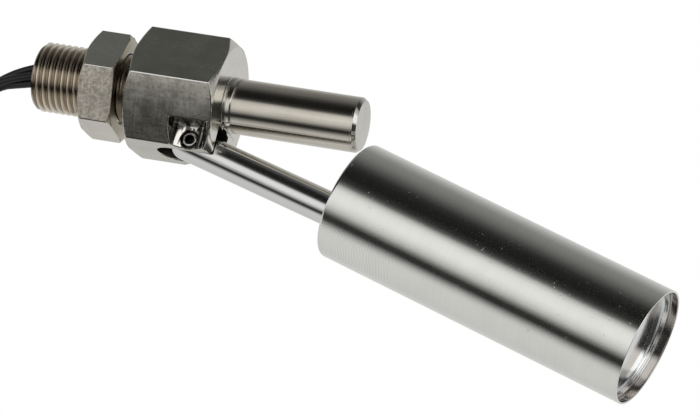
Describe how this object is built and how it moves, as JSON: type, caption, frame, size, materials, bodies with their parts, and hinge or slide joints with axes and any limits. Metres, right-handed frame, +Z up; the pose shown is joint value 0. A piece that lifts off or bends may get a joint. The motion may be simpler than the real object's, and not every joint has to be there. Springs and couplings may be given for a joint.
{
  "type": "float level switch",
  "caption": "Side-mounted stainless float level switch with a threaded stud and lock nut, a hexagon body, a reed stem, a hinged arm with a cylindrical float, and flying leads.",
  "frame": {"origin": "centre of the hexagon's shoulder, where it meets the tank wall, on the thread axis", "axes": "+X along the stem into the tank, +Z up with the switch mounted float side down, +Y to the left when looking from the leads along the stem"},
  "size_m": [0.1991, 0.0312, 0.067],
  "materials": {
    "stainless_milled": "satin",
    "stainless_nut": "satin",
    "stainless_drawn": "polished",
    "stainless_screw": "satin",
    "stainless_polished": "polished",
    "stainless_float": "satin",
    "stainless_cap": "satin",
    "magnet": "satin",
    "carrier_plastic": "matte",
    "reed_glass": "gloss",
    "blade_alloy": "satin",
    "tinned_copper": "satin",
    "shrink_sleeve": "satin",
    "resin": "gloss",
    "lead_insulation": "satin",
    "tie_plastic": "satin"
  },
  "bodies": {
    "switch_body": {"hex_body": "stainless_milled", "stem_tube": "stainless_drawn", "stem_end_disc": "stainless_drawn", "pivot_screw": "stainless_screw", "reed_carrier": "carrier_plastic", "reed_glass": "reed_glass", "reed_blade_common": "blade_alloy", "reed_blade_no": "blade_alloy", "reed_blade_nc": "blade_alloy", "return_wire": "tinned_copper", "solder_sleeve_no": "shrink_sleeve", "solder_sleeve_nc": "shrink_sleeve", "potting_plug": "resin", "lead_common": "lead_insulation", "lead_no": "lead_insulation", "lead_nc": "lead_insulation", "lead_end_common": "tinned_copper", "lead_end_no": "tinned_copper", "lead_end_nc": "tinned_copper", "lead_coil": "lead_insulation", "coil_tie": "tie_plastic"},
    "float_lever": {"float_arm": "stainless_polished", "float_shell": "stainless_float", "float_front_cap": "stainless_float", "float_rear_cap": "stainless_cap", "magnet_holder": "stainless_cap", "float_magnet": "magnet"},
    "lock_nut": {"lock_nut": "stainless_nut"}
  },
  "joints": [
    {"name": "float_swing", "type": "hinge", "parent": "switch_body", "child": "float_lever", "pos_m": [0.0158, 0, -0.0111], "axis": [0, -1, 0], "range_deg": [0, 16]},
    {"name": "nut_travel", "type": "slide", "parent": "switch_body", "child": "lock_nut", "axis": [1, 0, 0], "range_m": [-0.012, 0.0031]}
  ]
}
